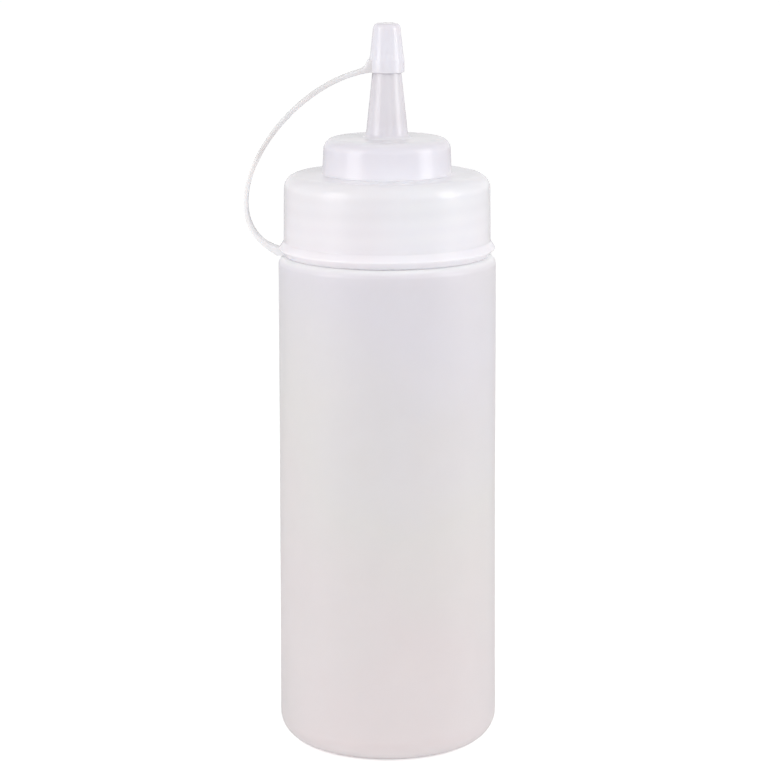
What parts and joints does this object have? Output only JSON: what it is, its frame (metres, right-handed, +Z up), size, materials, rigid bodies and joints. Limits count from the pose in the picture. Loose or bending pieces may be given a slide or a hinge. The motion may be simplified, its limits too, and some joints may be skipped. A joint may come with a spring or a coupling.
{
  "type": "squeeze bottle",
  "caption": "Round translucent squeeze bottle with a screw lid, a conical nozzle and a tip cap held to the lid by a thin strap.",
  "frame": {"origin": "on the bottle's axis, in the plane of the ring that it stands on", "axes": "+Z up along the bottle's axis towards the nozzle; the strap of the tip cap bends out on the -X side; a viewer in front looks along +Y"},
  "size_m": [0.0689, 0.06, 0.1984],
  "materials": {
    "bottle_plastic": "frosted, translucent natural polyethylene, soft sheen",
    "lid_plastic": "translucent natural polyethylene, smoother than the bottle"
  },
  "bodies": {
    "root": {"bottle": "bottle_plastic", "lid": "lid_plastic"}
  },
  "joints": []
}
